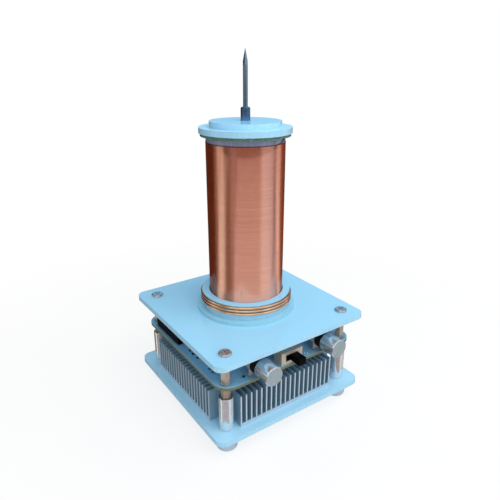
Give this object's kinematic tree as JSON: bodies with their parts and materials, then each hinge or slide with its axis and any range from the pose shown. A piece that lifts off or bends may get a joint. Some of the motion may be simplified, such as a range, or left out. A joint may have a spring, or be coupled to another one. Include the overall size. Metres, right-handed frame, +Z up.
{
  "type": "desktop resonant transformer",
  "caption": "Desktop resonant transformer: upright copper secondary coil with a discharge spike over a driver board, heat sink, control knobs and slide switch between acrylic plates.",
  "frame": {"origin": "on the desk under the feet, in the middle of the whole width and depth; the coil's axis stands 3.9 mm behind it", "axes": "+Z up along the coil, the knobs and the switch face -Y, +X to the right as seen from the knobs"},
  "size_m": [0.1, 0.1078, 0.1996],
  "materials": {
    "grey_rubber": "moulded, translucent grey",
    "zinc_screw": "zinc plated and polished",
    "ice_blue_acrylic": "polished pale blue acrylic sheet",
    "polished_aluminium": "turned and polished",
    "sink_aluminium": "extruded and sawn, plain",
    "nickelled_brass": "nickel plated, satin",
    "black_washer": "black nylon",
    "blue_board": "blue solder mask on glass laminate",
    "tan_zinc_sheet": "warm plated sheet steel",
    "black_moulding": "moulded",
    "cast_zinc": "die cast",
    "tinned_wire": "tinned copper",
    "lever_black": "moulded",
    "brown_laminate": "phenolic laminate",
    "grey_pad": "soft silicone sheet",
    "black_epoxy": "moulded epoxy",
    "capacitor_sleeve": "shrunk sleeve",
    "film_case": "moulded case",
    "pale_teal_acrylic": "translucent acrylic sheet",
    "bare_copper": "bare drawn copper wire",
    "enamelled_copper": "fine enamelled copper wire, close wound",
    "clear_tube": "translucent extruded tube",
    "green_laminate": "glass laminate with dark green mask",
    "cap_acrylic": "pale blue acrylic sheet",
    "dark_steel": "dark polished steel",
    "red_insulation": "silicone insulation"
  },
  "bodies": {
    "chassis": {"rubber_feet": "grey_rubber", "foot_screws": "zinc_screw", "base_plate": "ice_blue_acrylic", "support_posts": "polished_aluminium", "hex_spacers": "nickelled_brass", "standoff_washers": "black_washer", "hex_standoffs": "nickelled_brass", "top_plate": "ice_blue_acrylic", "top_plate_screws": "zinc_screw", "heat_sink": "sink_aluminium", "heat_sink_screws": "zinc_screw", "thermal_pads": "grey_pad", "power_transistors": "black_epoxy", "transistor_leads": "tinned_wire", "transistor_screws": "zinc_screw", "pot_brackets": "tan_zinc_sheet", "pot_housings": "black_moulding", "pot_bushes": "cast_zinc", "pot_pins": "tinned_wire", "switch_shell": "tan_zinc_sheet", "switch_insulator": "brown_laminate", "switch_pins": "tinned_wire", "circuit_board": "blue_board", "header_socket": "black_moulding", "header_pins": "tinned_wire", "power_jack": "black_moulding", "power_jack_pin": "tinned_wire", "audio_jack": "black_moulding", "jack_pins": "tinned_wire", "electrolytic_capacitor": "capacitor_sleeve", "film_capacitor": "film_case", "capacitor_leads": "tinned_wire", "driver_chips": "black_epoxy", "coil_disc": "pale_teal_acrylic", "primary_former": "cap_acrylic", "primary_winding": "bare_copper", "secondary_tube": "clear_tube", "secondary_winding": "enamelled_copper", "earth_lead": "red_insulation", "output_board": "green_laminate", "large_cap_disc": "cap_acrylic", "small_cap_disc": "cap_acrylic", "cap_screw": "zinc_screw", "head_hex": "dark_steel", "discharge_spike": "dark_steel"},
    "left_knob_body": {"left_pot_shaft": "polished_aluminium", "left_pot_rotor": "brown_laminate", "left_knob_core": "black_moulding", "left_knob": "polished_aluminium"},
    "right_knob_body": {"right_pot_shaft": "polished_aluminium", "right_pot_rotor": "brown_laminate", "right_knob_core": "black_moulding", "right_knob": "polished_aluminium"},
    "switch_slider": {"switch_shuttle": "lever_black", "switch_lever": "lever_black"}
  },
  "joints": [
    {"name": "left_knob_turn", "type": "hinge", "parent": "chassis", "child": "left_knob_body", "pos_m": [-0.02225, -0.0439, 0.0467], "axis": [0, -1, 0], "range_deg": [-150, 150]},
    {"name": "right_knob_turn", "type": "hinge", "parent": "chassis", "child": "right_knob_body", "pos_m": [0.02225, -0.0439, 0.0467], "axis": [0, -1, 0], "range_deg": [-150, 150]},
    {"name": "switch_slide", "type": "slide", "parent": "chassis", "child": "switch_slider", "axis": [-1, 0, 0], "range_m": [0, 0.0028]}
  ]
}
